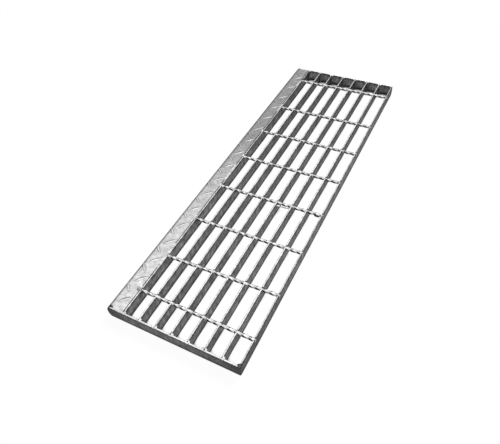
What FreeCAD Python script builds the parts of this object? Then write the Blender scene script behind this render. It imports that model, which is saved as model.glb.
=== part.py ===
import FreeCAD, Part
import math
import os

from FreeCAD import Vector

# Welded steel grating stair tread, in millimetres, +Z up.
# X runs along the tread, the nosing is at -Y and z = 0 is the underside.

# Overall length, over both end plates
TREAD_LENGTH = 800.0

# Bearing bars, flat bars on edge that run the length of the tread
BAR_HEIGHT = 25.0
BAR_THICKNESS = 3.0
BAR_PITCH = 30.0
BAR_COUNT = 8

# Cross rods, twisted square bars pressed into the bearing bars
ROD_SIZE = 5.0
ROD_DROP = 0.3
ROD_PITCH = 98.0
ROD_SHIFT = 18.0
END_ROD_SETBACK = 50.0
TWIST_TURN = 50.0
TWIST_START = 10.0
TWIST_STEP_DEGREES = 15.0

# End plates, flat bars across the ends of the bearing bars
END_PLATE_THICKNESS = 3.0
END_PLATE_SETBACK = 1.0
END_PLATE_CORNER = 9.0
END_PLATE_CUT = 4.0

# Nosing, checker plate bent down over the front
NOSING_WIDTH = 33.0
NOSING_THICKNESS = 3.0
NOSING_BEND = 12.0
NOSING_LEG = 3.0

# Lugs of the checker plate
LUG_PITCH = 45.5
LUG_LENGTH = 22.0
LUG_WIDTH = 5.0
LUG_HEIGHT = 1.0
LUG_SLANT_DEGREES = 45.0
LUG_REAR_INSET = 11.0
LUG_ROW_STEP = 10.0
LUG_END_MARGIN = 2.0

# Places that follow from the sizes above
PANEL_DEPTH = (BAR_COUNT - 1) * BAR_PITCH + BAR_THICKNESS
TREAD_DEPTH = PANEL_DEPTH + NOSING_WIDTH
FRONT = -TREAD_DEPTH / 2
BACK = TREAD_DEPTH / 2
PANEL_FRONT = FRONT + NOSING_WIDTH
CLEAR_LENGTH = TREAD_LENGTH - 2 * END_PLATE_THICKNESS
ROD_RADIUS = ROD_SIZE / math.sqrt(2)
NOSING_FOOT = BAR_HEIGHT - NOSING_BEND - NOSING_LEG


def line(start, end):
    """Straight edge in the YZ plane."""
    return Part.makeLine(Vector(0, *start), Vector(0, *end))


def quarter_bend(centre, radius):
    """Quarter circle in the YZ plane, from the top round to the front."""
    y, z = centre
    diagonal = radius / math.sqrt(2)
    top = Vector(0, y, z + radius)
    middle = Vector(0, y - diagonal, z + diagonal)
    front = Vector(0, y - radius, z)
    return Part.Arc(top, middle, front).toShape()


def bar_of_section(edges, x_start, length):
    """Bar along X with a closed section drawn in the YZ plane."""
    bar = Part.Face(Part.Wire(edges)).extrude(Vector(length, 0, 0))
    bar.translate(Vector(x_start, 0, 0))
    return bar


def bearing_bars():
    """Flat bars on edge, from end plate to end plate."""
    bars = []
    for i in range(BAR_COUNT):
        corner = Vector(-CLEAR_LENGTH / 2, PANEL_FRONT + i * BAR_PITCH, 0)
        bars.append(Part.makeBox(CLEAR_LENGTH, BAR_THICKNESS, BAR_HEIGHT, corner))
    return bars


def rod_places():
    """X of each rod: one near each end plate, the others between them at one pitch."""
    end_rod = TREAD_LENGTH / 2 - END_ROD_SETBACK
    inner_count = int(2 * end_rod / ROD_PITCH) - 1
    first = ROD_SHIFT - (inner_count - 1) * ROD_PITCH / 2
    inner_rods = [first + i * ROD_PITCH for i in range(inner_count)]
    return [-end_rod] + inner_rods + [end_rod]


def rod_section(y):
    """Corners of the square at a distance y along the rod, turned as far as the twist has gone there."""
    turned = 2 * math.pi * (y - TWIST_START) / TWIST_TURN
    corners = []
    for i in range(4):
        angle = math.pi / 4 - i * math.pi / 2 - turned
        corners.append(Vector(ROD_RADIUS * math.cos(angle), y, ROD_RADIUS * math.sin(angle)))
    return corners


def flat_face(*corners):
    return Part.Face(Part.makePolygon([*corners, corners[0]]))


def twisted_rod():
    """Square bar twisted about its own axis along Y, in short flat facets."""
    steps = math.ceil(360 * PANEL_DEPTH / TWIST_TURN / TWIST_STEP_DEGREES)
    sections = [rod_section(PANEL_DEPTH * i / steps) for i in range(steps + 1)]
    faces = [flat_face(*sections[0]), flat_face(*sections[-1])]
    for near, far in zip(sections, sections[1:]):
        for i in range(4):
            j = (i + 1) % 4
            faces.append(flat_face(near[i], near[j], far[i]))
            faces.append(flat_face(near[j], far[j], far[i]))
    return Part.Solid(Part.Shell(faces))


def grating_panel():
    """Bearing bars and twisted rods, fused where they cross."""
    bars = bearing_bars()
    rods = []
    for x in rod_places():
        rod = twisted_rod()
        rod.translate(Vector(x, PANEL_FRONT, BAR_HEIGHT - ROD_DROP - ROD_RADIUS))
        rods.append(rod)
    return bars[0].multiFuse(bars[1:] + rods).removeSplitter()


def bent_plate(raised, thickness):
    """Plate with a flat top, one bend and a short front leg, its outside raised above the nosing's own."""
    bend = (FRONT + NOSING_BEND, BAR_HEIGHT - NOSING_BEND)
    top = BAR_HEIGHT + raised
    front = FRONT - raised
    outer = NOSING_BEND + raised
    under = top - thickness
    behind = front + thickness
    section = [
        line((PANEL_FRONT, top), (bend[0], top)),
        quarter_bend(bend, outer),
        line((front, bend[1]), (front, NOSING_FOOT)),
        line((front, NOSING_FOOT), (behind, NOSING_FOOT)),
        line((behind, NOSING_FOOT), (behind, bend[1])),
        quarter_bend(bend, outer - thickness),
        line((bend[0], under), (PANEL_FRONT, under)),
        line((PANEL_FRONT, under), (PANEL_FRONT, top)),
    ]
    return bar_of_section(section, -CLEAR_LENGTH / 2, CLEAR_LENGTH)


def lug_prism(x, y, slant_degrees):
    """Upright prism over the lens-shaped outline of one lug."""
    tip = Vector(LUG_LENGTH / 2, 0, 0)
    side = Vector(0, LUG_WIDTH / 2, 0)
    outline = Part.Wire([
        Part.Arc(-tip, side, tip).toShape(),
        Part.Arc(tip, -side, -tip).toShape(),
    ])
    prism = Part.Face(outline).extrude(Vector(0, 0, NOSING_BEND + 2 * LUG_HEIGHT))
    prism.rotate(Vector(0, 0, 0), Vector(0, 0, 1), slant_degrees)
    prism.translate(Vector(x, y, BAR_HEIGHT - NOSING_BEND))
    return prism


def lug_prisms():
    """Lugs in two staggered rows that slant opposite ways."""
    slant = math.radians(LUG_SLANT_DEGREES)
    reach = (LUG_LENGTH * math.cos(slant) + LUG_WIDTH * math.sin(slant)) / 2
    step = LUG_PITCH / 2
    count = int((CLEAR_LENGTH - 2 * (reach + LUG_END_MARGIN)) / step) + 1
    rear_row = PANEL_FRONT - LUG_REAR_INSET
    prisms = []
    for i in range(count):
        x = (i - (count - 1) / 2) * step
        if i % 2:
            prisms.append(lug_prism(x, rear_row, -LUG_SLANT_DEGREES))
        else:
            prisms.append(lug_prism(x, rear_row - LUG_ROW_STEP, LUG_SLANT_DEGREES))
    return prisms


def nosing_plate():
    """Bent plate with its lugs, which follow the bend at one height."""
    plate = bent_plate(0.0, NOSING_THICKNESS)
    raised_skin = bent_plate(LUG_HEIGHT, LUG_HEIGHT + NOSING_THICKNESS / 2)
    lugs = [raised_skin.common(prism) for prism in lug_prisms()]
    return plate.multiFuse(lugs).removeSplitter()


def lower_curve(front):
    """Arc in the YZ plane, from upright at the height of the nosing's foot back to the underside."""
    radius = (END_PLATE_CUT ** 2 + NOSING_FOOT ** 2) / (2 * END_PLATE_CUT)
    half = math.asin(NOSING_FOOT / radius) / 2
    start = Vector(0, front, NOSING_FOOT)
    middle = Vector(0, front + radius * (1 - math.cos(half)), NOSING_FOOT - radius * math.sin(half))
    end = Vector(0, front + END_PLATE_CUT, 0)
    return Part.Arc(start, middle, end).toShape()


def end_plate(x_start):
    """Flat bar across the bar ends, its front rounded above and below."""
    front = FRONT + END_PLATE_SETBACK
    corner = (front + END_PLATE_CORNER, BAR_HEIGHT - END_PLATE_CORNER)
    section = [
        line((BACK, 0), (BACK, BAR_HEIGHT)),
        line((BACK, BAR_HEIGHT), (corner[0], BAR_HEIGHT)),
        quarter_bend(corner, END_PLATE_CORNER),
        line((front, corner[1]), (front, NOSING_FOOT)),
        lower_curve(front),
        line((front + END_PLATE_CUT, 0), (BACK, 0)),
    ]
    return bar_of_section(section, x_start, END_PLATE_THICKNESS)


os.makedirs("parts", exist_ok=True)
grating_panel().exportStep("parts/grating_panel.step")
nosing_plate().exportStep("parts/nosing_plate.step")
end_plate(-TREAD_LENGTH / 2).exportStep("parts/end_plate_left.step")
end_plate(TREAD_LENGTH / 2 - END_PLATE_THICKNESS).exportStep("parts/end_plate_right.step")
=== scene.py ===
import bmesh
import bpy
import math
from mathutils import Matrix, Vector, noise


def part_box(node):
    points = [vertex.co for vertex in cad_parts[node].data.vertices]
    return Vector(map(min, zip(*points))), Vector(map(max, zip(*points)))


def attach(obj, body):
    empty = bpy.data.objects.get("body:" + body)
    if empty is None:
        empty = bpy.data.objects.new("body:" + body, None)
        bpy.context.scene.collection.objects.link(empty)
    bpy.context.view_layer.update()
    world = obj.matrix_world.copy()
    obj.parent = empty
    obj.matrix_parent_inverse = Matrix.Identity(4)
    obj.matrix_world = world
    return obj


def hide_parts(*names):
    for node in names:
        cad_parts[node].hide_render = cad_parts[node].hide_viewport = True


# Welded steel grating stair tread, galvanised, in metres and +Z up.
# X runs along the tread, the nosing is at -Y and the underside is at z = 0.
# The far end, as the camera sees it, is at -X and the near end at +X.

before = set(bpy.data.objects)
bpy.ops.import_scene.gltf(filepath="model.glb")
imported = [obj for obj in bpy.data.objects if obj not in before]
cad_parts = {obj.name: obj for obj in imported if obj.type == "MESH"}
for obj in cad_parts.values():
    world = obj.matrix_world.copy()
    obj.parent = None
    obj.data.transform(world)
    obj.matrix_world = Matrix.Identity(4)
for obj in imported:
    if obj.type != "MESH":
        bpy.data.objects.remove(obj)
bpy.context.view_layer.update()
scene = bpy.context.scene
MM = 0.001

# Places read from the frame
PANEL_LOW, PANEL_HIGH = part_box("grating_panel")
NOSING_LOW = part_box("nosing_plate")[0]
PLATE_LOW, PLATE_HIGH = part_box("end_plate_right")
TOP = PANEL_HIGH.z
BACK = PANEL_HIGH.y
PANEL_FRONT = PANEL_LOW.y
PANEL_DEPTH = BACK - PANEL_FRONT
FRONT = NOSING_LOW.y
NOSING_FOOT = NOSING_LOW.z
PLATE_FRONT = PLATE_LOW.y
CLEAR_END = PANEL_HIGH.x
TREAD_END = PLATE_HIGH.x

# Fineness of small rounded edges and of round lumps
EDGE_STEPS = 3
INNER_EDGE_STEPS = 2
LUMP_POINTS = 24

# Seeds that keep the noise of the pieces apart, and their spread in it
SEED_SPREAD = (7.31, 2.17)
BAR_SWAY_SEED = 1
BAR_RIPPLE_SEED = 11
TWIST_SEED = 20
ROD_SEED = 40
FLASH_SEED_STEP = 10.0
DENT_SEED = 3.0
FAR_PLATE_SEED = 80
NEAR_PLATE_SEED = 83
FILLET_SEED_STEPS = (40.0, 3.7, 1.3)
END_BEAD_SEED = 71.0
END_BEAD_LUMPS_SEED = 30
REAR_SEAM_SEED = 91.0
REAR_SEAM_LUMPS_SEED = 4
END_RUN_SEED = 17.0
DROP_SEED = 23.0
THREAD_SEED = 29.0
THREAD_LUMPS_SEED = 33
STITCH_SEED_STEP = 5.1
STITCH_LUMPS_SEED = 60

# Bearing bars, flat bars on edge
BAR_COUNT = 8
BAR_THICKNESS = 3.0 * MM
BAR_EDGE = 0.9 * MM
BAR_FOOT_EDGE = 0.25 * MM
BAR_SWAY = 0.15 * MM
BAR_SWAY_LENGTH = 160.0 * MM
BAR_RIPPLE = 0.05 * MM
BAR_RIPPLE_LENGTH = 20.0 * MM
BAR_STEPS = 160
BAR_PITCH = (PANEL_DEPTH - BAR_THICKNESS) / (BAR_COUNT - 1)

# Cross rods, twisted square bars
ROD_SIZE = 5.0 * MM
ROD_SWELL = 0.4 * MM
ROD_EDGE = 1.5 * MM
ROD_MARKED_ARRIS = 0.6 * ROD_EDGE
ROD_DROP = 0.3 * MM
ROD_PITCH = 98.0 * MM
ROD_SHIFT = 18.0 * MM
INNER_RODS = 6
END_ROD_SETBACK = 50.0 * MM
ROD_LUMP = 0.03
ROD_LUMP_LENGTH = 12.0 * MM
ROD_STEPS = 170
TWIST_TURN = 50.0 * MM
TWIST_START = 10.0 * MM
TWIST_SWAY = 0.16
TWIST_SWAY_LENGTH = 50.0 * MM
ROD_COUNT = INNER_RODS + 2
ROD_AXIS_Z = TOP - ROD_DROP - ROD_SIZE / math.sqrt(2)

# Each rod's own values in millimetres, from the far rod to the near one:
# the start of its twist, and how far its front and rear ends lie off their even place
TWIST_OFFSETS = (1.5, 6.0, -3.5, 3.0, 3.5, -0.5, 4.0, -0.5)
ROD_STRAYS = ((1.0, -2.0), (1.5, -0.5), (4.0, 3.0), (1.5, 0.5),
              (2.0, -0.5), (2.5, -1.0), (3.0, -2.5), (-3.5, -1.0))

# Notches that the rods are pressed into
NOTCH_DEPTH = 1.7 * MM
NOTCH_REACH = 3.4 * MM
NOTCH_STEEPNESS = 2.5
NOTCH_CLEARANCE = 1.0 * MM
NOTCH_STEPS = 6

# Collars of metal at the crossings, half their outline as (place along the rod, radius) in millimetres
FLASH_OUTLINE = ((1.3, 3.3), (1.8, 3.2), (2.1, 3.0), (2.5, 2.6), (3.0, 2.0))
FLASH_TOP = TOP - 1.3 * MM
FLASH_LUMP = 0.2
FLASH_LUMP_STEP = 0.35

# Nosing, with a narrow seam left open between it and the first bar
NOSING_THICKNESS = 3.0 * MM
NOSING_BEND = 12.0 * MM
NOSING_EDGE = 0.7 * MM
NOSING_SEAM = 0.45 * MM
NOSING_SWELL = 0.8 * MM
NOSING_END_GAP = 0.02 * MM
NOSING_STEPS = 1060
NOSING_FLAT_STEPS = 27
NOSING_BEND_STEPS = 26
NOSING_LEG_STEPS = 4
NOSING_INNER_STEPS = 6
NOSING_UNDER_STEPS = 3
SHEET_WAVE = 0.12 * MM
SHEET_WAVE_LENGTH = 60.0 * MM
SHEET_WAVE_WIDTH = 20.0 * MM
DENT_DEPTH = 0.04 * MM
DENT_LENGTH = 9.0 * MM
DENT_WIDTH = 6.0 * MM

# Lugs of the checker plate, with less painted highlight and less painted shade on the front row than on the
# rear one
LUG_PITCH = 45.5 * MM
LUG_LENGTH = 27.0 * MM
LUG_WIDTH = 4.6 * MM
LUG_HEIGHT = 1.0 * MM
LUG_DOME = 0.55
LUG_SLANT = math.radians(45.0)
LUG_REAR_INSET = 11.0 * MM
LUG_ROW_STEP = 10.0 * MM
LUG_COUNT = 36
LUG_SHADE_REACH = 2.0 * MM
FRONT_LUG_SHADE = 0.4
FRONT_LUG_HIGHLIGHT = 0.35
HIGHLIGHT_MIDDLE = -0.25
HIGHLIGHT_REACH = 0.75
HIGHLIGHT_STEEPNESS = 2.2

# Painted shade where the bend of the nosing runs into an end plate
CORNER_SHADE_START = LUG_REAR_INSET + 6.0 * MM
CORNER_SHADE_END = 38.0 * MM
CORNER_SHADE_REACH = 8.0 * MM
CORNER_SHADE_SLOPE = 1.7
CORNER_SHADE_FADE = 6.0 * MM
CORNER_SHADE_BLUR = 1.5 * MM

# End plates
PLATE_CORNER = 9.0 * MM
PLATE_CUT = 4.0 * MM
PLATE_EDGE = 0.45 * MM
PLATE_REAR_ROUND = 1.2 * MM
PLATE_NICK = 0.1 * MM
PLATE_NICK_LENGTH = 11.0 * MM
PLATE_STEPS = 60
PLATE_REAR_STEPS = 4
PLATE_FRONT_STEPS = 3
PLATE_CORNER_STEPS = 10
PLATE_CUT_STEPS = 8

# Welds, whose lumps are given as ripple, unevenness and the length of the unevenness
RIPPLE = 2.1 * MM
BEAD_POINTS = 12
BEAD_LUMP = 0.22
BEAD_LUMP_ROUND = 0.8
BEAD_LUMP_STEP = 0.4
BEAD_END = 0.5

# Direction that no weld runs in, from which its rings are turned
BEAD_SIDE = Vector((0.31, 0.22, 0.11))

# Fillets in the corners of the bars and end plates
FILLET = 2.3 * MM
FILLET_TOP = 3.4 * MM
FILLET_FOOT = 0.6 * MM
FILLET_DROP = 0.1 * MM
FILLET_CROWN = 0.15 * MM
FILLET_FLARE_START = 0.55 * TOP
FILLET_FLARE_POWER = 1.5
FILLET_FOOT_SHARE = 0.6
FILLET_CROWN_SHARE = 0.75
FILLET_LUMPS = (0.07, 0.18, 9.0 * MM)
FILLET_STEPS = 26

# Beads in the joints of the nosing and the end plates
END_BEAD = 0.95 * MM
END_BEAD_DROP = 0.75 * MM
END_BEAD_INSET = 0.5 * MM
END_BEAD_WRAP = 4.0 * MM
END_BEAD_LUMPS = (0.0, 0.15, 4.0 * MM)
END_BEAD_STEPS = 20

# Seams down the outer rear corners
REAR_SEAM = 1.4 * MM
REAR_SEAM_INSET = 0.9 * MM
REAR_SEAM_FOOT = 1.2 * MM
REAR_SEAM_HEIGHT = TOP - 4.5 * MM
REAR_SEAM_LUMPS = (0.12, 0.25, 8.0 * MM)
REAR_SEAM_STEPS = 24

# Run of weld metal beside the fifth rod, where it comes to the last bar
FIFTH_ROD = 4
END_RUN_SIDE = 3.0 * MM
END_RUN_DROP = 1.2 * MM
END_RUN_START = 13.0 * MM
END_RUN_LENGTH = 10.0 * MM
END_RUN_RADIUS = 0.6 * MM
END_RUN_BULGE = 1.5 * MM
END_RUN_STEPS = 8

# Drop of weld metal on the fifth bar beside the same rod, and the thread from there to the next bar
FIFTH_BAR = 4
DROP_SIDE = 6.5 * MM
DROP_RADIUS = 3.0 * MM
DROP_LENGTH = 7.0 * MM
DROP_DEPTH = 2.5 * MM
DROP_STEPS = 7
THREAD_RADIUS = 0.9 * MM
THREAD_SHIFT = 1.0 * MM
THREAD_DRIFT = 2.0 * MM
THREAD_DEPTH = 2.0 * MM
THREAD_SAG = 1.0 * MM
THREAD_LUMPS = (0.0, 0.5, 5.0 * MM)
THREAD_STEPS = 24

# Stitches on the seam between the nosing and the first bar, as X of both ends in millimetres
STITCHES = ((-345.0, -318.0), (-234.0, -203.0), (-129.0, -119.0), (-34.0, -25.0), (2.0, 55.0),
            (65.0, 73.0), (162.0, 174.0), (238.0, 298.0), (341.0, 348.0))
STITCH_RADIUS = 1.7 * MM
STITCH_INSET = 0.6 * MM
STITCH_DROP = 1.0 * MM
STITCH_END = 0.45
STITCH_END_RISE = 0.3
STITCH_LUMPS = (0.1, 0.25, 6.0 * MM)

# Scorched lump on the nosing in front of the last rod
SCORCH_RADIUS = 4.6 * MM
SCORCH_HEIGHT = 2.0 * MM
SCORCH_SIDE = 1.5 * MM
SCORCH_INSET = 2.2 * MM
SCORCH_DROP = 0.5 * MM
SCORCH_DOME_DEGREES = 80.0
SCORCH_LUMP = 0.14
SCORCH_LUMP_ROUND = 1.3
SCORCH_LUMP_STEP = 0.3
SCORCH_STEPS = 8

# Stretches along X over which the zinc and its painted light and shade change, from the far end to the near
# end
WHOLE_LENGTH = (-400.0 * MM, 400.0 * MM)
BAR_SIDE_FADE = (-400.0 * MM, 120.0 * MM)
BAR_TOP_FADE = (-350.0 * MM, 350.0 * MM)
FAR_BAY = (-395.0 * MM, -345.0 * MM)
SEAM_FADE = (-100.0 * MM, 250.0 * MM)
FAR_BACK = (-400.0 * MM, -250.0 * MM)
NEAR_BACK = (200.0 * MM, 330.0 * MM)
MIDDLE = (-100.0 * MM, 100.0 * MM)
ROD_SHADE_FADE = (-350.0 * MM, 200.0 * MM)
ROD_EDGE_FADE = (-350.0 * MM, 350.0 * MM)
FAR_ROD = (-340.0 * MM, -240.0 * MM)
NOSING_FADE = (-100.0 * MM, 150.0 * MM)
NOSING_NEAR_END = (150.0 * MM, 350.0 * MM)
BEND_FADE = (-150.0 * MM, 300.0 * MM)
LUG_FADE = (-200.0 * MM, 0.0)

# Stretches in depth and height over which the zinc and its painted shade change
SEAM_EDGE = (PANEL_FRONT + 1.1 * MM, PANEL_FRONT + 1.7 * MM)
BACK_EDGE = (BACK - 1.5 * MM, BACK - 1.0 * MM)
BACK_FACE = (BACK - 1.2 * MM, BACK - 0.3 * MM)
PLATE_ENDS = (70.0 * MM, 125.0 * MM)
PLATE_TOP_FADE = (PANEL_FRONT - 20.0 * MM, PANEL_FRONT + 70.0 * MM)
BACK_FOOT = (1.0 * MM, 14.0 * MM)
LOWER_BORDER = (1.5 * MM, 8.0 * MM)
UPPER_BORDER = (TOP - 7.5 * MM, TOP - 2.5 * MM)

# Limits of a face's direction, between which it takes rubbing and painted light, counts as level, takes
# painted shade and so on
FACING_FRONT = (-0.9, -0.5)
EDGE_BELOW = (0.1, 0.4)
EDGE_ABOVE = (0.95, 0.99)
BAR_WORN_AND_LIT = (0.88, 0.96)
BAR_LIT_LEAN = 0.1
PLATE_WORN_AND_LIT = (0.93, 0.99)
ROD_FLANK = (0.57, 0.8)
ROD_UPPER = (-0.35, -0.1)
ROD_BELOW = (0.2, 0.4)
ROD_FAR_EDGE = (-0.45, -0.2)
WELD_LEVEL = (0.3, 0.85)
NOSING_LEVEL = (0.82, 0.98)
BEND_BAND = (0.45, 0.8)
BEND_FRONT = (0.1, 0.45)
REAR_EDGE = (0.3, 0.7)

# Tones of the zinc, some of them painted light and shade, and factors for its painted shade and other
# darkening, from the low to the high end of their stretch
EDGE_SHADE = 0.75
LOWER_BORDER_SHADE = 0.05
UPPER_BORDER_DARKENING = 0.55
BAR_SIDE_TONES = (0.135, 0.35)
FRONT_SIDE_LIGHT = 1.5
BAR_TOP_TONES = (0.62, 0.84)
FAR_BAY_DARKENING = 0.55
SEAM_DIRT = (0.3, 0.75)
BACK_FOOT_SHADE = (0.35, 0.8)
FAR_BACK_SHADE = 0.45
NEAR_BACK_SHADE = (1.1, 0.5)
PLATE_SIDE_TONES = (0.36, 0.27)
PLATE_END_DARKENING = (0.85, 0.16)
PLATE_TOP_TONES = (0.7, 0.92)
ROD_TONE = 0.88
ROD_SHADE_TONES = (0.12, 0.03)
ROD_ARRIS_SHADE = 0.2
ROD_EDGE_BIAS = (-0.42, 0.0)
FAR_ROD_BIAS = 0.1
ROD_FAR_EDGE_SHADE = (0.8, 0.05)
NOSING_TONES = (0.31, 0.62)
NOSING_NEAR_HIGHLIGHT = 0.14
BEND_SHADE_TONES = (0.11, 0.165)
BEND_BAND_SHADE = 0.3
BEND_FRONT_LIGHT = 1.9
LUG_HIGHLIGHT_TONES = (0.72, 0.98)
LUG_FOOT_SHADE = (0.5, 0.08)
REAR_EDGE_SHADE = 0.5
SCUFFS = (1.12, 0.88)
SHEET_CRYSTALS = (0.87, 1.13)

# Zinc coat: its roughness from low to high, its relief and the spans and stretch of its patterns
DIPPED_ROUGH = (0.45, 0.62)
SHEET_ROUGH = (0.45, 0.6)
RELIEF = 0.6 * MM
FINE_SHARE = 0.35
NOISE_SPAN = (0.3, 0.7)
PATCH_SPAN = (0.35, 0.65)
RUN_STRETCH = (1.0, 1.0, 0.15)
SCUFF_STRETCH = (1.0, 0.25, 1.0)

# Floor and light
FLOOR_REACH = 30.0
FLOOR_DROP = 0.1 * MM
FLOOR_GREY = 0.35
FLOOR_GLOW = 0.94
SHADOW_GREY = 0.08
CONTACT_REACH = 24.0 * MM
CONTACT_SAMPLES = 48
CONTACT_SPAN = (0.34, 0.49)
CONTACT_DARK = 0.06
SKY_STRENGTH = 0.15
KEY_PLACE = (-3.0, 0.4, 3.4)
KEY_TARGET = (0.0, 0.0, 0.0)
KEY_SIZE = 2.0
KEY_WATTS = 165.0
NEAR_PLACE = (0.45, 0.1, 1.3)
NEAR_TARGET = (0.3, 0.0, 0.0)
NEAR_SIZE = 0.6
NEAR_WATTS = 5.0

# Camera at the photograph's view, with its focal length and axis in the photograph's pixels
IMAGE_WIDTH = 500.0
IMAGE_HEIGHT = 444.0
CAMERA_PLACE = (0.6606, 0.2997, 0.6649)
CAMERA_AIM = (0.1465, -0.0265, 0.0)
CAMERA_ROLL = math.radians(-6.12)
CAMERA_FOCUS = 477.2
AXIS_PIXEL = (231.8, 228.8)
SENSOR_WIDTH = 36.0
CLIP_START = 0.01


def add_piece(name, verts, faces, material, *replaced):
    """Mesh piece of the tread, smooth shaded, that rides on the only body."""
    mesh = bpy.data.meshes.new(name)
    mesh.from_pydata(verts, [], faces)
    bm = bmesh.new()
    bm.from_mesh(mesh)
    bmesh.ops.recalc_face_normals(bm, faces=bm.faces)
    bm.to_mesh(mesh)
    bm.free()
    mesh.shade_smooth()
    mesh.materials.append(material)
    piece = bpy.data.objects.new(name, mesh)
    scene.collection.objects.link(piece)
    piece.modifiers.new("weighted normals", "WEIGHTED_NORMAL")
    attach(piece, "root")
    if replaced:
        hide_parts(*replaced)
    return piece


def store(piece, name, values):
    """Keep one value for each vertex of a piece, for its material."""
    layer = piece.data.attributes.new(name, "FLOAT", "POINT")
    layer.data.foreach_set("value", values)


def loft(rings, verts, faces):
    """Close a row of equal rings into a capped skin, added to verts and faces."""
    first = len(verts)
    size = len(rings[0])
    for ring in rings:
        verts.extend(ring)
    for i in range(len(rings) - 1):
        for j in range(size):
            a = first + i * size + j
            b = first + i * size + (j + 1) % size
            faces.append((a, b, b + size, a + size))
    last = first + (len(rings) - 1) * size
    faces.append(tuple(range(first, first + size)))
    faces.append(tuple(range(last, last + size)))


def arc(centre, radius, start, end, steps):
    """Points of an arc in a plane, between two angles in degrees."""
    points = []
    for k in range(steps + 1):
        angle = math.radians(start + (end - start) * k / steps)
        x = centre[0] + radius * math.cos(angle)
        y = centre[1] + radius * math.sin(angle)
        points.append(Vector((x, y)))
    return points


def circle(count):
    """Evenly spaced points of a circle of radius 1."""
    return arc((0, 0), 1.0, 0, 360 - 360 / count, count - 1)


def straight(start, end, steps):
    """Points between two points of a plane, without the ends."""
    return [Vector(start).lerp(Vector(end), k / steps) for k in range(1, steps)]


def rounded_box(width, height, radius, foot_radius):
    """Outline of a box on its base line, with rounded corners."""
    x = width / 2 - radius
    high = height - radius
    foot_x = width / 2 - foot_radius
    points = arc((foot_x, foot_radius), foot_radius, -90, 0, EDGE_STEPS)
    points += arc((x, high), radius, 0, 90, EDGE_STEPS)
    points += arc((-x, high), radius, 90, 180, EDGE_STEPS)
    points += arc((-foot_x, foot_radius), foot_radius, 180, 270, EDGE_STEPS)
    return points


def clamp(value):
    """Value held between 0 and 1."""
    return max(0.0, min(1.0, value))


def wave(x, seed, length):
    """Smooth waviness from -1 to 1 along a length."""
    return noise.noise(Vector((x / length, seed * SEED_SPREAD[0], seed * SEED_SPREAD[1])))


def rod_places():
    """X of each rod if all lay square to the bars."""
    end_rod = TREAD_END - END_ROD_SETBACK
    first = ROD_SHIFT - (INNER_RODS - 1) * ROD_PITCH / 2
    return [-end_rod] + [first + i * ROD_PITCH for i in range(INNER_RODS)] + [end_rod]


def rod_x(n, y):
    """X of a rod where it passes a given Y, a little askew."""
    front, rear = ROD_STRAYS[n]
    along = (y - PANEL_FRONT) / PANEL_DEPTH
    return rod_places()[n] + (front + (rear - front) * along) * MM


def bar_middle(i):
    """Y of the middle of a bar."""
    return PANEL_FRONT + BAR_THICKNESS / 2 + i * BAR_PITCH


def crossings(i):
    """X of each rod where it crosses a bar."""
    return [rod_x(n, bar_middle(i)) for n in range(ROD_COUNT)]


def bar_stations(middles):
    """Places along X where a bar's sections stand, closer together at the rods."""
    stations = [-CLEAR_END + 2 * CLEAR_END * k / BAR_STEPS for k in range(BAR_STEPS + 1)]
    for middle in middles:
        stations = [x for x in stations if abs(x - middle) > NOTCH_REACH + NOTCH_CLEARANCE]
        stations += [middle + NOTCH_REACH * k / NOTCH_STEPS for k in range(-NOTCH_STEPS, NOTCH_STEPS + 1)]
    return sorted(stations)


def notch(x, middles):
    """Depth to which the rods are pressed into a bar's top."""
    away = min(abs(x - middle) for middle in middles) / NOTCH_REACH
    return NOTCH_DEPTH * clamp(NOTCH_STEEPNESS * (1 - away))


def build_bars(material):
    """Flat bars on edge with the soft edges of dipped steel, pressed down under the rods."""
    section = rounded_box(BAR_THICKNESS, TOP, BAR_EDGE, BAR_FOOT_EDGE)
    verts = []
    faces = []
    for i in range(BAR_COUNT):
        middles = crossings(i)
        rings = []
        for x in bar_stations(middles):
            sway = BAR_SWAY * wave(x, i + BAR_SWAY_SEED, BAR_SWAY_LENGTH)
            sway += BAR_RIPPLE * wave(x, i + BAR_RIPPLE_SEED, BAR_RIPPLE_LENGTH)
            drop = notch(x, middles)
            ring = []
            for p in section:
                z = p.y - drop if p.y > TOP / 2 else p.y
                ring.append((x, bar_middle(i) + p.x + sway, z))
            rings.append(ring)
        loft(rings, verts, faces)
    add_piece("bearing_bars", verts, faces, material, "grating_panel")


def rod_turn(n, along):
    """Angle to which a rod's square has turned at a distance along it."""
    turned = (along - TWIST_START - TWIST_OFFSETS[n] * MM) / TWIST_TURN
    return -2 * math.pi * turned + TWIST_SWAY * wave(along, n + TWIST_SEED, TWIST_SWAY_LENGTH)


def build_rods(material):
    """Square rods twisted about their own axes, with rounded arrises that are rubbed, marked for a painted
    highlight in the material.
    """
    width = ROD_SIZE + ROD_SWELL
    section = [p - Vector((0, width / 2)) for p in rounded_box(width, width, ROD_EDGE, ROD_EDGE)]
    flat_end = width / 2 - ROD_MARKED_ARRIS
    # Arrises marked as rubbed and as a painted highlight, for the material
    wear_and_highlight = [1.0 if min(abs(p.x), abs(p.y)) > flat_end else 0.0 for p in section]
    verts = []
    faces = []
    for n in range(ROD_COUNT):
        rings = []
        for k in range(ROD_STEPS + 1):
            along = PANEL_DEPTH * k / ROD_STEPS
            y = PANEL_FRONT + along
            turn = rod_turn(n, along)
            swell = 1 + ROD_LUMP * wave(along, n + ROD_SEED, ROD_LUMP_LENGTH)
            across = Vector((math.cos(turn), math.sin(turn))) * swell
            middle = rod_x(n, y)
            ring = []
            for p in section:
                x = middle + p.x * across.x - p.y * across.y
                z = ROD_AXIS_Z + p.x * across.y + p.y * across.x
                ring.append((x, y, z))
            rings.append(ring)
        loft(rings, verts, faces)
    rods = add_piece("cross_rods", verts, faces, material, "grating_panel")
    store(rods, "wear_and_highlight", wear_and_highlight * (len(verts) // len(wear_and_highlight)))


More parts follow.
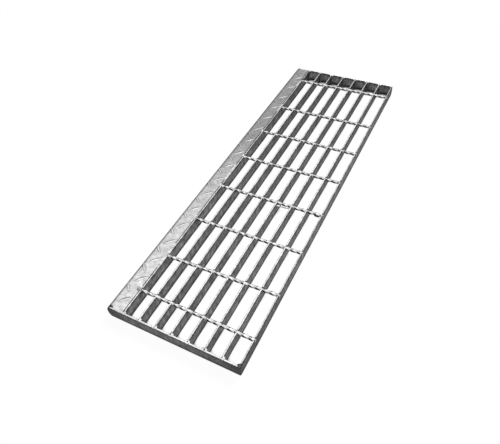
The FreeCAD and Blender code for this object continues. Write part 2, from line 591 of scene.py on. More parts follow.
def flash_profile(i):
    """Outline of the collars on a bar, cut off flat at the front of the first and the rear of the last."""
    flat = FLASH_OUTLINE[:1]
    front = flat if i == 0 else FLASH_OUTLINE
    rear = flat if i == BAR_COUNT - 1 else FLASH_OUTLINE
    return [(-along, radius) for along, radius in reversed(front)] + list(rear)


def build_flash(material):
    """Collars of metal squeezed out where each rod is forged into a bar."""
    verts = []
    faces = []
    for i in range(BAR_COUNT):
        for n, middle in enumerate(crossings(i)):
            seed = FLASH_SEED_STEP * n + i
            rings = []
            for along, radius in flash_profile(i):
                ring = []
                for p in circle(LUMP_POINTS):
                    lump = noise.noise(Vector((p.x + seed, p.y - seed, along * FLASH_LUMP_STEP)))
                    reach = radius * MM * (1 + FLASH_LUMP * lump)
                    z = min(ROD_AXIS_Z + p.y * reach, FLASH_TOP)
                    ring.append((middle + p.x * reach, bar_middle(i) + along * MM, z))
                rings.append(ring)
            loft(rings, verts, faces)
    add_piece("crossing_flash", verts, faces, material)


def lug_places():
    """Middle of each lug, as X and distance from the rear edge, with its slant."""
    places = []
    for i in range(LUG_COUNT):
        x = (i - (LUG_COUNT - 1) / 2) * LUG_PITCH / 2
        if i % 2:
            places.append((x, LUG_REAR_INSET + LUG_ROW_STEP, -LUG_SLANT))
        else:
            places.append((x, LUG_REAR_INSET, LUG_SLANT))
    return places


def lug_at(x, across, lugs):
    """Height of the lugs, a painted highlight on one side of their crown, partly rubbing, and painted shade
    at the other side's foot, each from 0 to 1.
    """
    height = 0.0
    highlight = 0.0
    darkening = 0.0
    for lug_x, lug_across, slant in lugs:
        right = x - lug_x
        forward = across - lug_across
        along = (right * math.cos(slant) + forward * math.sin(slant)) / (LUG_LENGTH / 2)
        if abs(along) >= 1:
            continue
        rear_row = slant > 0
        taper = 1 - along * along
        half_width = LUG_WIDTH / 2 * taper
        sideways = math.copysign(1, slant) * (forward * math.cos(slant) - right * math.sin(slant))
        # Painted shade at the foot of one side
        foot = 1 - abs(sideways - half_width) / LUG_SHADE_REACH
        darkening = max(darkening, foot * math.sqrt(taper) * (1.0 if rear_row else FRONT_LUG_SHADE))
        if abs(sideways) < half_width:
            place = sideways / half_width
            height = math.sqrt(taper) * (1 - place ** 2) ** LUG_DOME
            # Painted highlight on one side of the crown, partly rubbing
            highlight = clamp(HIGHLIGHT_STEEPNESS * (1 - abs(place - HIGHLIGHT_MIDDLE) / HIGHLIGHT_REACH))
            highlight *= 1.0 if rear_row else FRONT_LUG_HIGHLIGHT
    return height, highlight, darkening


def corner_shade(x, across):
    """Painted shade from 0 to 1 in the corners of the nosing and the end plates."""
    reach = min((across - CORNER_SHADE_START) / CORNER_SHADE_SLOPE, CORNER_SHADE_REACH)
    fade = clamp((CORNER_SHADE_END - across) / CORNER_SHADE_FADE)
    return fade * clamp((reach - (CLEAR_END - abs(x))) / CORNER_SHADE_BLUR)


def nosing_section():
    """Closed section as (place, outward direction, distance from the rear edge or None)."""
    edge = NOSING_EDGE
    rear = PANEL_FRONT - NOSING_SEAM
    inside = FRONT + NOSING_THICKNESS
    under = TOP - NOSING_THICKNESS
    bend = Vector((FRONT + NOSING_BEND, TOP - NOSING_BEND))
    rear_corner = Vector((rear - edge, TOP - edge))
    foot_corner = Vector((FRONT + edge, NOSING_FOOT + edge))
    bend_start = PANEL_FRONT - bend.x
    bend_end = bend_start + NOSING_BEND * math.pi / 2
    points = []
    for p in arc(rear_corner, edge, 0, 90, EDGE_STEPS):
        points.append((p, (p - rear_corner).normalized(), None))
    for p in straight((rear - edge, TOP), (bend.x, TOP), NOSING_FLAT_STEPS):
        points.append((p, Vector((0, 1)), PANEL_FRONT - p.x))
    for p in arc(bend, NOSING_BEND, 90, 180, NOSING_BEND_STEPS):
        out = (p - bend).normalized()
        points.append((p, out, bend_start + NOSING_BEND * math.atan2(-out.x, out.y)))
    for p in straight((FRONT, bend.y), (FRONT, NOSING_FOOT + edge), NOSING_LEG_STEPS):
        points.append((p, Vector((-1, 0)), bend_end + bend.y - p.y))
    for p in arc(foot_corner, edge, 180, 270, INNER_EDGE_STEPS):
        points.append((p, (p - foot_corner).normalized(), None))
    for p in arc((inside - edge, NOSING_FOOT + edge), edge, 270, 360, INNER_EDGE_STEPS):
        points.append((p, Vector((1, 0)), None))
    for p in arc(bend, NOSING_BEND - NOSING_THICKNESS, 180, 90, NOSING_INNER_STEPS):
        points.append((p, (bend - p).normalized(), None))
    for p in straight((bend.x, under), (rear - edge, under), NOSING_UNDER_STEPS):
        points.append((p, Vector((0, -1)), None))
    for p in arc((rear - edge, under + edge), edge, 270, 360, INNER_EDGE_STEPS):
        points.append((p, Vector((0, -1)), None))
    return points


def sheet_wave(x, p):
    """Slight waviness of the bent sheet."""
    place = Vector((x / SHEET_WAVE_LENGTH, p.x / SHEET_WAVE_WIDTH, p.y / SHEET_WAVE_WIDTH))
    return SHEET_WAVE * noise.noise(place)


def dent(x, across):
    """Small dents of the sheet's outer side."""
    return DENT_DEPTH * noise.noise(Vector((x / DENT_LENGTH, across / DENT_WIDTH, DENT_SEED)))


def build_nosing(material):
    """Bent checker plate with domed lugs and the slight waviness of bent sheet."""
    section = nosing_section()
    lugs = lug_places()
    reach = CLEAR_END - NOSING_END_GAP
    rings = []
    highlights = []
    darkenings = []
    for k in range(NOSING_STEPS + 1):
        x = -reach + 2 * reach * k / NOSING_STEPS
        near_lugs = [lug for lug in lugs if abs(lug[0] - x) < LUG_LENGTH / 2]
        ring = []
        for p, out, across in section:
            lift = out.y * sheet_wave(x, p)
            highlight = 0.0
            darkening = 0.0
            if across is not None:
                height, highlight, darkening = lug_at(x, across, near_lugs)
                darkening = max(darkening, corner_shade(x, across))
                lift += NOSING_SWELL * (1 - out.y) + LUG_HEIGHT * height + dent(x, across)
            ring.append((x, p.x + out.x * lift, p.y + out.y * lift))
            highlights.append(highlight)
            darkenings.append(darkening)
        rings.append(ring)
    verts = []
    faces = []
    loft(rings, verts, faces)
    nosing = add_piece("nosing", verts, faces, material, "nosing_plate")
    # Painted highlight and painted shade of the lugs and corners, for the material
    store(nosing, "highlight", highlights)
    store(nosing, "darkening", darkenings)


def plate_outline():
    """Outline of an end plate in Y and Z, counter-clockwise from the rear foot."""
    rear = PLATE_REAR_ROUND
    corner = (PLATE_FRONT + PLATE_CORNER, TOP - PLATE_CORNER)
    radius = (PLATE_CUT ** 2 + NOSING_FOOT ** 2) / (2 * PLATE_CUT)
    sweep = math.degrees(math.asin(NOSING_FOOT / radius))
    points = arc((BACK - rear, rear), rear, -90, 0, EDGE_STEPS)
    points += straight((BACK, rear), (BACK, TOP - rear), PLATE_REAR_STEPS)
    points += arc((BACK - rear, TOP - rear), rear, 0, 90, EDGE_STEPS)
    points += straight((BACK - rear, TOP), (corner[0], TOP), PLATE_STEPS)
    points += arc(corner, PLATE_CORNER, 90, 180, PLATE_CORNER_STEPS)
    points += straight((PLATE_FRONT, corner[1]), (PLATE_FRONT, NOSING_FOOT), PLATE_FRONT_STEPS)
    points += arc((PLATE_FRONT + radius, NOSING_FOOT), radius, 180, 180 + sweep, PLATE_CUT_STEPS)
    points += straight((PLATE_FRONT + PLATE_CUT, 0), (BACK - rear, 0), PLATE_STEPS)
    return points


def inward(points):
    """Inward direction at each point of a counter-clockwise outline."""
    directions = []
    for i in range(len(points)):
        run = (points[(i + 1) % len(points)] - points[i - 1]).normalized()
        directions.append(Vector((-run.y, run.x)))
    return directions


def build_plate(name, node, material, seed):
    """End plate with softened edges, nicked along the top."""
    low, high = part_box(node)
    outline = plate_outline()
    directions = inward(outline)
    edge = arc((PLATE_EDGE, PLATE_EDGE), PLATE_EDGE, 180, 270, EDGE_STEPS)
    layers = [(low.x + p.x, p.y) for p in edge] + [(high.x - p.x, p.y) for p in reversed(edge)]
    rings = []
    for x, inset in layers:
        ring = []
        for p, direction in zip(outline, directions):
            nick = PLATE_NICK * (1 + wave(p.x, seed, PLATE_NICK_LENGTH)) if p.y > TOP / 2 else 0.0
            q = p + direction * (inset + nick)
            ring.append((x, q.x, q.y))
        rings.append(ring)
    verts = []
    faces = []
    loft(rings, verts, faces)
    add_piece(name, verts, faces, material, node)


def weld_swell(place, seed, ripple, lump, length):
    """Factor around 1 for the ripples and the unevenness of a weld along its run."""
    return 1 + ripple * math.sin(2 * math.pi * place / RIPPLE) + lump * wave(place, seed, length)


def bulge(k, steps):
    """Roundness of a drop along its length, from 0 at its ends to 1 in the middle."""
    return math.sqrt(math.sin(math.pi * k / steps))


def bead(points, radii, seed, verts, faces):
    """Lumpy weld run along a row of points."""
    rings = []
    last = len(points) - 1
    for i, point in enumerate(points):
        ahead = (points[min(i + 1, last)] - points[max(i - 1, 0)]).normalized()
        side = ahead.cross(BEAD_SIDE).normalized()
        rise = side.cross(ahead)
        ring = []
        for p in circle(BEAD_POINTS):
            round_x = p.x * BEAD_LUMP_ROUND + seed
            round_y = p.y * BEAD_LUMP_ROUND - seed
            lump = noise.noise(Vector((round_x, round_y, i * BEAD_LUMP_STEP)))
            reach = radii[i] * (1 + BEAD_LUMP * lump)
            ring.append(point + (side * p.x + rise * p.y) * reach)
        rings.append(ring)
    loft(rings, verts, faces)


def upright_fillet(x, y, seed, verts, faces):
    """Fillet down the corner of a bar and an end plate, broad and level at the top."""
    top = TOP - FILLET_DROP
    points = []
    radii = []
    for k in range(FILLET_STEPS + 1):
        z = FILLET_FOOT + (top - FILLET_FOOT) * k / FILLET_STEPS
        flare = max(0.0, (z - FILLET_FLARE_START) / (top - FILLET_FLARE_START))
        radius = FILLET + (FILLET_TOP - FILLET) * flare ** FILLET_FLARE_POWER
        points.append(Vector((x, y, z)))
        radii.append(radius * weld_swell(z, seed, *FILLET_LUMPS))
    points.append(Vector((x, y, top + FILLET_CROWN)))
    radii.append(radii[-1] * FILLET_CROWN_SHARE)
    radii[0] *= FILLET_FOOT_SHARE
    bead(points, radii, seed, verts, faces)


def nosing_end_bead(side, verts, faces):
    """Low bead that fills the joint between the nosing and an end plate."""
    start = PANEL_FRONT - END_BEAD_INSET
    end = FRONT + NOSING_BEND - END_BEAD_WRAP
    points = []
    radii = []
    for k in range(END_BEAD_STEPS + 1):
        y = start + (end - start) * k / END_BEAD_STEPS
        forward = max(0.0, FRONT + NOSING_BEND - y)
        z = TOP - NOSING_BEND + math.sqrt(NOSING_BEND ** 2 - forward ** 2) - END_BEAD_DROP
        points.append(Vector((side * CLEAR_END, y, z)))
        radii.append(END_BEAD * weld_swell(y, side + END_BEAD_LUMPS_SEED, *END_BEAD_LUMPS))
    radii[-1] *= BEAD_END
    bead(points, radii, side + END_BEAD_SEED, verts, faces)


def rear_seam(side, verts, faces):
    """Bead down the outer rear corner of the last bar and an end plate."""
    points = []
    radii = []
    for k in range(REAR_SEAM_STEPS + 1):
        z = REAR_SEAM_FOOT + REAR_SEAM_HEIGHT * k / REAR_SEAM_STEPS
        points.append(Vector((side * CLEAR_END, BACK - REAR_SEAM_INSET, z)))
        radii.append(REAR_SEAM * weld_swell(z, side + REAR_SEAM_LUMPS_SEED, *REAR_SEAM_LUMPS))
    radii[0] *= BEAD_END
    radii[-1] *= BEAD_END
    bead(points, radii, side + REAR_SEAM_SEED, verts, faces)


def rod_end_run(verts, faces):
    """Run of weld metal beside the fifth rod, where it comes to the last bar."""
    start = BACK - BAR_THICKNESS - END_RUN_START
    points = []
    radii = []
    for k in range(END_RUN_STEPS + 1):
        y = start + END_RUN_LENGTH * k / END_RUN_STEPS
        points.append(Vector((rod_x(FIFTH_ROD, y) + END_RUN_SIDE, y, ROD_AXIS_Z - END_RUN_DROP)))
        radii.append(END_RUN_RADIUS + END_RUN_BULGE * bulge(k, END_RUN_STEPS))
    bead(points, radii, END_RUN_SEED, verts, faces)


def rod_drop(x, start, verts, faces):
    """Drop of weld metal on the rear side of a bar."""
    points = []
    radii = []
    for k in range(DROP_STEPS + 1):
        points.append(Vector((x, start + DROP_LENGTH * k / DROP_STEPS, ROD_AXIS_Z - DROP_DEPTH)))
        radii.append(DROP_RADIUS * bulge(k + 1, DROP_STEPS + 2))
    bead(points, radii, DROP_SEED, verts, faces)


def rod_thread(x, start, verts, faces):
    """Thin run of weld metal that sags from one bar to the next."""
    points = []
    radii = []
    for k in range(THREAD_STEPS + 1):
        y = start + (BAR_PITCH - BAR_THICKNESS) * k / THREAD_STEPS
        z = ROD_AXIS_Z - THREAD_DEPTH - THREAD_SAG * math.sin(math.pi * k / THREAD_STEPS)
        points.append(Vector((x - THREAD_SHIFT - THREAD_DRIFT * k / THREAD_STEPS, y, z)))
        radii.append(THREAD_RADIUS * weld_swell(y, THREAD_LUMPS_SEED, *THREAD_LUMPS))
    bead(points, radii, THREAD_SEED, verts, faces)


def fillet_seed(side, i, face):
    """Seed of its own for the fillet at one face of a bar's end."""
    side_step, bar_step, face_step = FILLET_SEED_STEPS
    return bar_step * i + face_step * face + side_step * side


def build_end_welds(material, scorched):
    """Welds of the end plates, dark in the near rear corner, and the weld metal beside the fifth rod."""
    light = ([], [])
    dark = ([], [])
    for side in (-1, 1):
        for i in range(BAR_COUNT):
            for face in (-1, 1):
                under_nosing = i == 0 and face < 0
                outside = i == BAR_COUNT - 1 and face > 0
                if under_nosing or outside:
                    continue
                y = bar_middle(i) + face * BAR_THICKNESS / 2
                skin = dark if i == BAR_COUNT - 1 and side > 0 else light
                upright_fillet(side * CLEAR_END, y, fillet_seed(side, i, face), *skin)
        nosing_end_bead(side, *light)
    start = bar_middle(FIFTH_BAR) + BAR_THICKNESS / 2
    x = rod_x(FIFTH_ROD, start) + DROP_SIDE
    rod_drop(x, start, *light)
    rod_thread(x, start, *light)
    rear_seam(-1, *light)
    rear_seam(1, *dark)
    rod_end_run(*dark)
    add_piece("end_welds", *light, material)
    add_piece("corner_weld", *dark, scorched)


def build_nosing_welds(material):
    """Stitches along the seam between the nosing and the first bar, most of them at a rod."""
    verts = []
    faces = []
    for n, (start, end) in enumerate(STITCHES):
        steps = int(end - start)
        points = []
        radii = []
        for k in range(steps + 1):
            x = (start + (end - start) * k / steps) * MM
            points.append(Vector((x, PANEL_FRONT - STITCH_INSET, TOP - STITCH_DROP)))
            ends = min(1.0, STITCH_END + STITCH_END_RISE * min(k, steps - k))
            radii.append(STITCH_RADIUS * ends * weld_swell(x, n + STITCH_LUMPS_SEED, *STITCH_LUMPS))
        bead(points, radii, STITCH_SEED_STEP * n, verts, faces)
    add_piece("nosing_welds", verts, faces, material)


def build_scorched_weld(material):
    """Round weld lump on the nosing in front of the last rod."""
    x = rod_x(ROD_COUNT - 1, PANEL_FRONT) + SCORCH_SIDE
    middle = Vector((x, PANEL_FRONT - SCORCH_INSET, TOP - SCORCH_DROP))
    rings = []
    for k in range(SCORCH_STEPS + 1):
        angle = math.radians(SCORCH_DOME_DEGREES * k / SCORCH_STEPS)
        ring = []
        for p in circle(LUMP_POINTS):
            around = p * SCORCH_LUMP_ROUND
            lump = 1 + SCORCH_LUMP * noise.noise(Vector((around.x, around.y, k * SCORCH_LUMP_STEP)))
            reach = SCORCH_RADIUS * math.cos(angle) * lump
            rise = SCORCH_HEIGHT * math.sin(angle) * lump
            ring.append(middle + Vector((p.x * reach, p.y * reach, rise)))
        rings.append(ring)
    verts = []
    faces = []
    loft(rings, verts, faces)
    add_piece("scorched_weld", verts, faces, material)


def put(tree, socket, value):
    """Link a socket to another, or set its own value."""
    if isinstance(value, bpy.types.NodeSocket):
        tree.links.new(value, socket)
    else:
        socket.default_value = value


def grey(value):
    return (value, value, value, 1)


def calc(tree, operation, *values):
    node = tree.nodes.new("ShaderNodeMath")
    node.operation = operation
    for socket, value in zip(node.inputs, values):
        put(tree, socket, value)
    return node.outputs[0]


def product(tree, *values):
    result = values[0]
    for value in values[1:]:
        result = calc(tree, "MULTIPLY", result, value)
    return result


def ranged(tree, value, low, high, start, end):
    """Value carried from one range to another, held at both ends."""
    node = tree.nodes.new("ShaderNodeMapRange")
    for socket, item in zip(node.inputs, (value, low, high, start, end)):
        put(tree, socket, item)
    return node.outputs[0]


def blended(tree, factor, first, second):
    """First value where the factor is 0, second where it is 1."""
    return ranged(tree, factor, 0.0, 1.0, first, second)


def cloud(tree, place, scale, detail):
    node = tree.nodes.new("ShaderNodeTexNoise")
    put(tree, node.inputs["Vector"], place)
    node.inputs["Scale"].default_value = scale
    node.inputs["Detail"].default_value = detail
    return node.outputs["Fac"]


def cells(tree, place, scale):
    """Flat value for each cell of a crystal pattern."""
    node = tree.nodes.new("ShaderNodeTexVoronoi")
    put(tree, node.inputs["Vector"], place)
    node.inputs["Scale"].default_value = scale
    split = tree.nodes.new("ShaderNodeSeparateColor")
    put(tree, split.inputs[0], node.outputs["Color"])
    return split.outputs[0]


def stretched(tree, place, factors):
    node = tree.nodes.new("ShaderNodeVectorMath")
    node.operation = "MULTIPLY"
    put(tree, node.inputs[0], place)
    node.inputs[1].default_value = factors
    return node.outputs[0]


def parts(tree, vector):
    """The three sockets of a vector, by axis name."""
    node = tree.nodes.new("ShaderNodeSeparateXYZ")
    put(tree, node.inputs[0], vector)
    return node.outputs


def attribute(tree, name):
    """Value stored for each vertex of a piece."""
    node = tree.nodes.new("ShaderNodeAttribute")
    node.attribute_name = name
    return node.outputs["Fac"]


def metal(name):
    """New material with its tree, shader, object place and the parts of its normal."""
    material = bpy.data.materials.new(name)
    material.use_nodes = True
    tree = material.node_tree
    shader = tree.nodes["Principled BSDF"]
    place = tree.nodes.new("ShaderNodeTexCoord").outputs["Object"]
    normal = parts(tree, tree.nodes.new("ShaderNodeNewGeometry").outputs["Normal"])
    return material, tree, shader, place, normal


def surface(tree, shader, place, rough, grain):
    """Shared roughness and fine relief of dipped zinc."""
    patches = cloud(tree, place, scale=70.0, detail=4.0)
    put(tree, shader.inputs["Roughness"], ranged(tree, patches, *NOISE_SPAN, *rough))
    fine = cloud(tree, place, scale=900.0, detail=3.0)
    broad = cloud(tree, place, scale=160.0, detail=3.0)
    bump = tree.nodes.new("ShaderNodeBump")
    bump.inputs["Strength"].default_value = grain
    bump.inputs["Distance"].default_value = RELIEF
    put(tree, bump.inputs["Height"], calc(tree, "MULTIPLY_ADD", fine, FINE_SHARE, broad))
    put(tree, shader.inputs["Normal"], bump.outputs[0])


def gloss(shader, metallic, specular, edge):
    """Even values of the shader: how metallic, how glossy, and the tint of its reflections at a glance."""
    shader.inputs["Metallic"].default_value = metallic
    shader.inputs["Specular IOR Level"].default_value = specular
    shader.inputs["Specular Tint"].default_value = grey(edge)


def dipped(tree, shader, place, grain):
    """Roughness, relief and gloss of all pieces but the nosing's sheet."""
    surface(tree, shader, place, DIPPED_ROUGH, grain)
    gloss(shader, metallic=0.15, specular=0.15, edge=0.5)


def mottle(tree, place, strength):
    """Factor around 1 for the patches, crystals and runs of a zinc coat."""
    spread = (1 - strength, 1 + strength)
    patches = ranged(tree, cloud(tree, place, scale=90.0, detail=6.0), *PATCH_SPAN, *spread)
    flecks = blended(tree, cells(tree, place, scale=300.0), 1 - strength / 3, 1 + strength / 3)
    runs = cloud(tree, stretched(tree, place, RUN_STRETCH), scale=190.0, detail=3.0)
    return product(tree, patches, flecks, ranged(tree, runs, *NOISE_SPAN, *spread))


def edge_shade(tree, normal):
    """Factor for painted shade on the rounded edges, between the upright and the level faces."""
    level = calc(tree, "ABSOLUTE", normal["Z"])
    below = ranged(tree, level, *EDGE_BELOW, 0.0, 1.0)
    above = ranged(tree, level, *EDGE_ABOVE, 1.0, 0.0)
    return blended(tree, calc(tree, "MULTIPLY", below, above), 1.0, EDGE_SHADE)


def border_darkening(tree, height):
    """Factor that darkens the sides along their lower and upper borders: painted contact shade at the foot,
    and a darker band below the top.
    """
    low = ranged(tree, height, *LOWER_BORDER, LOWER_BORDER_SHADE, 1.0)
    high = ranged(tree, height, *UPPER_BORDER, 1.0, UPPER_BORDER_DARKENING)
    return calc(tree, "MULTIPLY", low, high)


def bar_back(tree, spot):
    """Factor for painted shade on the outer side of the last bar, most at its foot and towards both ends.
    """
    foot = ranged(tree, spot["Z"], *BACK_FOOT, *BACK_FOOT_SHADE)
    far_shade = ranged(tree, spot["X"], *FAR_BACK, FAR_BACK_SHADE, 1.0)
    near_shade = ranged(tree, spot["X"], *NEAR_BACK, *NEAR_BACK_SHADE)
    return ranged(tree, spot["Y"], *BACK_FACE, 1.0, product(tree, foot, far_shade, near_shade))


def bar_top(tree, spot):
    """Tone of the bars' tops, with painted light that fades towards the far end, duller in the far bay and
    dirty along the seam of the nosing.
    """
    far_bay = ranged(tree, spot["X"], *FAR_BAY, FAR_BAY_DARKENING, 1.0)
    seam_dirt = ranged(tree, spot["X"], *SEAM_FADE, *SEAM_DIRT)
    seam_side = ranged(tree, spot["Y"], *SEAM_EDGE, seam_dirt, 1.0)
    # Painted light that fades towards the far end, times the far bay and the seam
    return product(tree, ranged(tree, spot["X"], *BAR_TOP_FADE, *BAR_TOP_TONES), far_bay, seam_side)


def bar_zinc():
    """Bars: mottled grey sides, partly painted shade and painted lighter where they face the nosing,
    painted shade on the rounded edges and at the foot, tops rubbed bright and painted lit, all with painted
    light that fades towards the far end.
    """
    material, tree, shader, place, normal = metal("bar zinc")
    spot = parts(tree, place)
    # Painted light on the sides that face the nosing, and painted light that fades towards the far end
    front_side = ranged(tree, normal["Y"], *FACING_FRONT, FRONT_SIDE_LIGHT, 1.0)
    side = calc(tree, "MULTIPLY", front_side, ranged(tree, spot["X"], *BAR_SIDE_FADE, *BAR_SIDE_TONES))
    # Painted shade on the rounded edges and at the foot, and a darker band below the top
    darkening = calc(tree, "MULTIPLY", edge_shade(tree, normal), border_darkening(tree, spot["Z"]))
    dull_and_shaded = product(tree, side, bar_back(tree, spot), darkening, mottle(tree, place, strength=0.4))
    bright = product(tree, bar_top(tree, spot), mottle(tree, place, strength=0.15))
    # Tops lighter as rubbing and as painted light, leant so that the front rounding of each top takes
    # painted shade
    leaning = calc(tree, "MULTIPLY_ADD", normal["Y"], BAR_LIT_LEAN, normal["Z"])
    inside_back = ranged(tree, spot["Y"], *BACK_EDGE, 1.0, 0.0)
    worn_and_lit = calc(tree, "MULTIPLY", ranged(tree, leaning, *BAR_WORN_AND_LIT, 0.0, 1.0), inside_back)
    put(tree, shader.inputs["Base Color"], blended(tree, worn_and_lit, dull_and_shaded, bright))
    dipped(tree, shader, place, grain=0.25)
    return material


def plate_zinc():
    """End plates: grey sides, those of the far plate painted lighter, darker towards the corners, painted
    shade on the rounded edges and at the foot, and tops rubbed bright and painted lit.
    """
    material, tree, shader, place, normal = metal("plate zinc")
    spot = parts(tree, place)
    corner = ranged(tree, spot["X"], *MIDDLE, *PLATE_END_DARKENING)
    corners = ranged(tree, calc(tree, "ABSOLUTE", spot["Y"]), *PLATE_ENDS, 1.0, corner)
    # Painted light: the far plate's sides are made lighter than the near plate's
    side = calc(tree, "MULTIPLY", corners, ranged(tree, spot["X"], *WHOLE_LENGTH, *PLATE_SIDE_TONES))
    # Painted shade on the rounded edges and at the foot, and a darker band below the top
    darkening = calc(tree, "MULTIPLY", edge_shade(tree, normal), border_darkening(tree, spot["Z"]))
    dull_and_shaded = product(tree, side, darkening, mottle(tree, place, strength=0.3))
    top = ranged(tree, spot["Y"], *PLATE_TOP_FADE, *PLATE_TOP_TONES)
    bright = product(tree, mottle(tree, place, strength=0.1), top)
    # Tops lighter as rubbing and as painted light
    worn_and_lit = ranged(tree, normal["Z"], *PLATE_WORN_AND_LIT, 0.0, 1.0)
    put(tree, shader.inputs["Base Color"], blended(tree, worn_and_lit, dull_and_shaded, bright))
    dipped(tree, shader, place, grain=0.25)
    return material


def rod_zinc():
    """Twisted rods: bright, with painted shade on the flanks that face the near end and along the far edge,
    and less of it on the rubbed arrises.
    """
    material, tree, shader, place, normal = metal("rod zinc")
    x = parts(tree, place)["X"]
    # Painted shade on the flanks that face the near end, darker towards the near end
    flank = ranged(tree, calc(tree, "SUBTRACT", normal["X"], normal["Y"]), *ROD_FLANK, 0.0, 1.0)
    upper = ranged(tree, normal["Z"], *ROD_UPPER, 0.0, 1.0)
    shade_off_arrises = blended(tree, attribute(tree, "wear_and_highlight"), 1.0, ROD_ARRIS_SHADE)
    darkening = ranged(tree, x, *ROD_SHADE_FADE, *ROD_SHADE_TONES)
    tone = blended(tree, product(tree, flank, upper, shade_off_arrises), ROD_TONE, darkening)
    # Painted shade along the far edge, reaching further towards the far end but for the far rod
    far_edge_shift = ranged(tree, x, *ROD_EDGE_FADE, *ROD_EDGE_BIAS)
    but_far_rod = ranged(tree, x, *FAR_ROD, FAR_ROD_BIAS, 1.0)
    turned_away = calc(tree, "MULTIPLY_ADD", far_edge_shift, but_far_rod, normal["X"])
    below = ranged(tree, normal["Z"], *ROD_BELOW, *ROD_FAR_EDGE_SHADE)
    far_edge = ranged(tree, turned_away, *ROD_FAR_EDGE, below, 1.0)
    put(tree, shader.inputs["Base Color"], product(tree, tone, far_edge, mottle(tree, place, strength=0.2)))
    dipped(tree, shader, place, grain=0.25)
    return material


def weld_zinc(name, side, top):
    """Lumpy weld metal under zinc, painted lighter where it faces up and darker on its sides and underside
    as light and shade.
    """
    material, tree, shader, place, normal = metal(name)
    # Painted light and shade by how far the weld faces up
    tone = ranged(tree, normal["Z"], *WELD_LEVEL, side, top)
    put(tree, shader.inputs["Base Color"], product(tree, tone, mottle(tree, place, strength=0.25)))
    dipped(tree, shader, place, grain=0.3)
    return material


def nosing_tone(tree, x, normal):
    """Tone of the nosing: lighter towards the near end, partly patina and partly painted light, with a
    painted highlight at the near end, a painted highlight on the lugs and painted shade over the bend.
    """
    # Partly patina and partly painted light that fades towards the far end, with a painted highlight at the
    # near end
    patina_and_light = ranged(tree, x, *NOSING_FADE, *NOSING_TONES)
    with_near_highlight = calc(tree, "ADD", patina_and_light, ranged(tree, x, *NOSING_NEAR_END, 0.0, NOSING_NEAR_HIGHLIGHT))
    # Painted shade over the bend
    dull_and_shaded = ranged(tree, x, *BEND_FADE, *BEND_SHADE_TONES)
    level = ranged(tree, normal["Z"], *NOSING_LEVEL, 0.0, 1.0)
    # Painted highlight on the lugs
    bright = ranged(tree, x, *LUG_FADE, *LUG_HIGHLIGHT_TONES)
    return blended(tree, attribute(tree, "highlight"), blended(tree, level, dull_and_shaded, with_near_highlight), bright)


def nosing_marks(tree, x, place, normal):
    """Factor for the painted shade in a band on the bend, painted light on its front face, painted shade at
    the lugs' feet and on the rear edge, and the scuffs.
    """
    # Painted shade in a band on the bend, painted light on its front face
    band = ranged(tree, normal["Z"], *BEND_BAND, BEND_BAND_SHADE, 1.0)
    bend = ranged(tree, normal["Z"], *BEND_FRONT, BEND_FRONT_LIGHT, band)
    # Painted shade at the lugs' feet
    darkening = ranged(tree, x, *LUG_FADE, *LUG_FOOT_SHADE)
    feet = blended(tree, attribute(tree, "darkening"), 1.0, darkening)
    # Painted shade on the rear edge, inside the seam
    rear_edge = ranged(tree, normal["Y"], *REAR_EDGE, 1.0, REAR_EDGE_SHADE)
    strokes = cloud(tree, stretched(tree, place, SCUFF_STRETCH), scale=300.0, detail=4.0)
    scuffs = ranged(tree, strokes, *NOISE_SPAN, *SCUFFS)
    grain = blended(tree, cells(tree, place, scale=320.0), *SHEET_CRYSTALS)
    return product(tree, bend, feet, rear_edge, scuffs, grain, mottle(tree, place, strength=0.07))


def nosing_zinc():
    """Sheet zinc of the nosing, duller than the dipped bars."""
    material, tree, shader, place, normal = metal("nosing zinc")
    x = parts(tree, place)["X"]
    marks = nosing_marks(tree, x, place, normal)
    put(tree, shader.inputs["Base Color"], calc(tree, "MULTIPLY", nosing_tone(tree, x, normal), marks))
    surface(tree, shader, place, SHEET_ROUGH, grain=0.3)
    gloss(shader, metallic=0.12, specular=0.03, edge=0.2)
    return material


def seen(tree):
    """1 for what the camera sees directly, in a reflection or through something clear."""
    path = tree.nodes.new("ShaderNodeLightPath").outputs
    reflected = calc(tree, "MAXIMUM", path["Is Camera Ray"], path["Is Glossy Ray"])
    return calc(tree, "MAXIMUM", reflected, path["Is Transmission Ray"])


def mixed(tree, factor, first, second):
    node = tree.nodes.new("ShaderNodeMixShader")
    for socket, item in zip(node.inputs, (factor, first, second)):
        put(tree, socket, item)
    return node.outputs[0]


def diffuse(tree, tone):
    node = tree.nodes.new("ShaderNodeBsdfDiffuse")
    node.inputs["Color"].default_value = grey(tone)
    return node.outputs[0]


def white_floor():
    """Pale floor that is white to the camera, with painted contact shade in its glow and a faint shadow."""
    material = bpy.data.materials.new("white floor")
    material.use_nodes = True
    tree = material.node_tree
    tree.nodes.clear()
    # Painted contact shade: the glow darkens where the floor is hemmed in by the tread
    contact = tree.nodes.new("ShaderNodeAmbientOcclusion")
    contact.samples = CONTACT_SAMPLES
    contact.inputs["Distance"].default_value = CONTACT_REACH
    glow = tree.nodes.new("ShaderNodeEmission")
    glow.inputs["Strength"].default_value = FLOOR_GLOW
    put(tree, glow.inputs["Color"], ranged(tree, contact.outputs["AO"], *CONTACT_SPAN, CONTACT_DARK, 1.0))
    white = tree.nodes.new("ShaderNodeAddShader")
    put(tree, white.inputs[0], glow.outputs[0])
    put(tree, white.inputs[1], diffuse(tree, SHADOW_GREY))
    output = tree.nodes.new("ShaderNodeOutputMaterial")
    pale = diffuse(tree, FLOOR_GREY)
    put(tree, output.inputs["Surface"], mixed(tree, seen(tree), pale, white.outputs[0]))
    return material


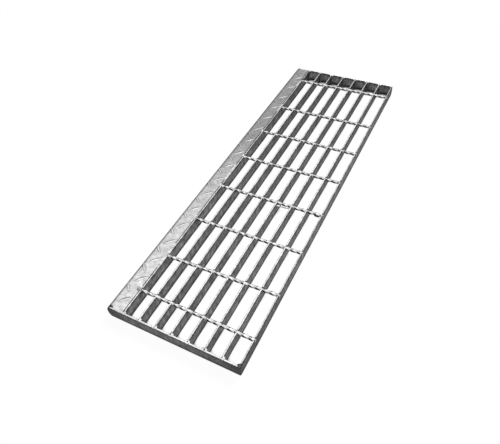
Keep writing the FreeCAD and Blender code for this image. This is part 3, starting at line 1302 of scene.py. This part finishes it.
def build_floor():
    """Large level floor just under the tread."""
    reach = FLOOR_REACH
    corners = [(-reach, -reach, 0), (reach, -reach, 0), (reach, reach, 0), (-reach, reach, 0)]
    mesh = bpy.data.meshes.new("floor")
    mesh.from_pydata(corners, [], [(0, 1, 2, 3)])
    mesh.materials.append(white_floor())
    floor = bpy.data.objects.new("floor", mesh)
    scene.collection.objects.link(floor)
    floor.location.z = -FLOOR_DROP


def background(tree, strength):
    node = tree.nodes.new("ShaderNodeBackground")
    node.inputs["Color"].default_value = grey(1.0)
    node.inputs["Strength"].default_value = strength
    return node.outputs[0]


def build_world():
    """Dim even light all round, white where the camera looks past the floor."""
    world = bpy.data.worlds.new("studio")
    scene.world = world
    world.use_nodes = True
    tree = world.node_tree
    tree.nodes.clear()
    dim = background(tree, SKY_STRENGTH)
    white = background(tree, 1.0)
    output = tree.nodes.new("ShaderNodeOutputWorld")
    put(tree, output.inputs["Surface"], mixed(tree, seen(tree), dim, white))


def add_softbox(name, place, target, size, watts):
    """Square lamp that points at a target."""
    lamp = bpy.data.lights.new(name, "AREA")
    lamp.shape = "SQUARE"
    lamp.size = size
    lamp.energy = watts
    softbox = bpy.data.objects.new(name, lamp)
    scene.collection.objects.link(softbox)
    softbox.location = place
    softbox.rotation_euler = (Vector(target) - Vector(place)).to_track_quat("-Z", "Y").to_euler()


def build_camera():
    """Camera that sees the tread as the photograph does."""
    lens = bpy.data.cameras.new("camera")
    lens.sensor_width = SENSOR_WIDTH
    lens.lens = CAMERA_FOCUS / IMAGE_WIDTH * SENSOR_WIDTH
    lens.shift_x = (IMAGE_WIDTH / 2 - AXIS_PIXEL[0]) / IMAGE_WIDTH
    lens.shift_y = (AXIS_PIXEL[1] - IMAGE_HEIGHT / 2) / IMAGE_WIDTH
    lens.clip_start = CLIP_START
    camera = bpy.data.objects.new("camera", lens)
    scene.collection.objects.link(camera)
    level = (Vector(CAMERA_AIM) - Vector(CAMERA_PLACE)).to_track_quat("-Z", "Y").to_matrix().to_4x4()
    camera.matrix_world = Matrix.Translation(CAMERA_PLACE) @ level @ Matrix.Rotation(CAMERA_ROLL, 4, "Z")
    scene.camera = camera


bar_metal = bar_zinc()
plate_metal = plate_zinc()
weld_metal = weld_zinc("weld zinc", side=0.28, top=0.8)
build_bars(bar_metal)
build_rods(rod_zinc())
build_flash(bar_metal)
build_nosing(nosing_zinc())
build_plate("end_plate_far", "end_plate_left", plate_metal, FAR_PLATE_SEED)
build_plate("end_plate_near", "end_plate_right", plate_metal, NEAR_PLATE_SEED)
build_end_welds(weld_metal, weld_zinc("corner zinc", side=0.08, top=0.1))
build_nosing_welds(weld_metal)
build_scorched_weld(weld_zinc("scorched zinc", side=0.03, top=0.3))
build_floor()
build_world()
add_softbox("key_softbox", KEY_PLACE, KEY_TARGET, KEY_SIZE, KEY_WATTS)
add_softbox("near_softbox", NEAR_PLACE, NEAR_TARGET, NEAR_SIZE, NEAR_WATTS)
build_camera()

scene.view_settings.view_transform = "Standard"
